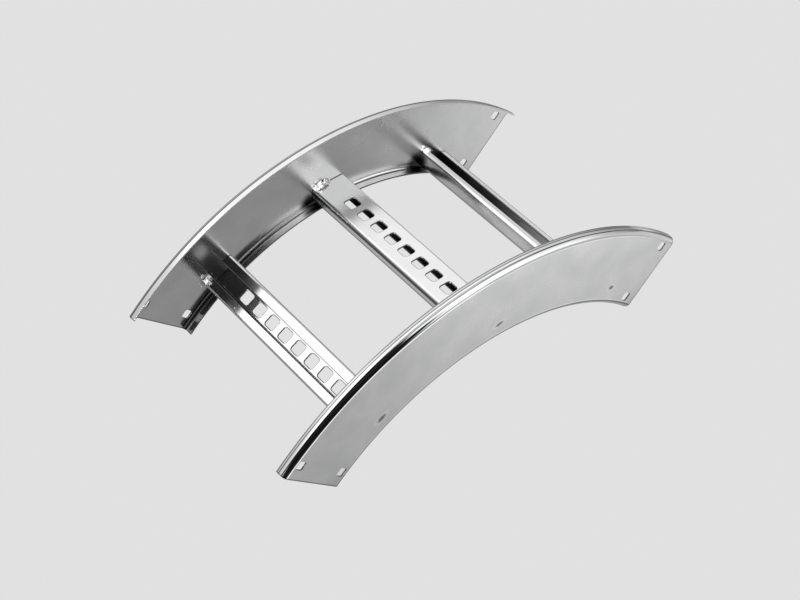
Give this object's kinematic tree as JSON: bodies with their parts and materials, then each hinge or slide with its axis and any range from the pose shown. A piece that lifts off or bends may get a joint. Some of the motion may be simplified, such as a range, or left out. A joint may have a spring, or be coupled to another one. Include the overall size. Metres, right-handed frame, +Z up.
{
  "type": "cable ladder bend",
  "caption": "Outside riser bend of a cable ladder: curved folded side rails joined by welded channel rungs with perforated webs.",
  "frame": {"origin": "centre of the bounding box on the floor that the bend stands on", "axes": "+X along the chord of the bend from its left end to its right end, +Y across the ladder from the front rail to the back rail, +Z up, out of the bend at its middle"},
  "size_m": [0.5656, 0.3, 0.1879],
  "materials": {
    "rail_steel": "smooth galvanised sheet, soft reflections",
    "rung_steel": "bright galvanised sheet",
    "weld_metal": "bright weld bead"
  },
  "bodies": {
    "root": {"rail_front": "rail_steel", "rail_back": "rail_steel", "rung_left": "rung_steel", "rung_middle": "rung_steel", "rung_right": "rung_steel", "welds_left": "weld_metal", "welds_middle": "weld_metal", "welds_right": "weld_metal"}
  },
  "joints": []
}
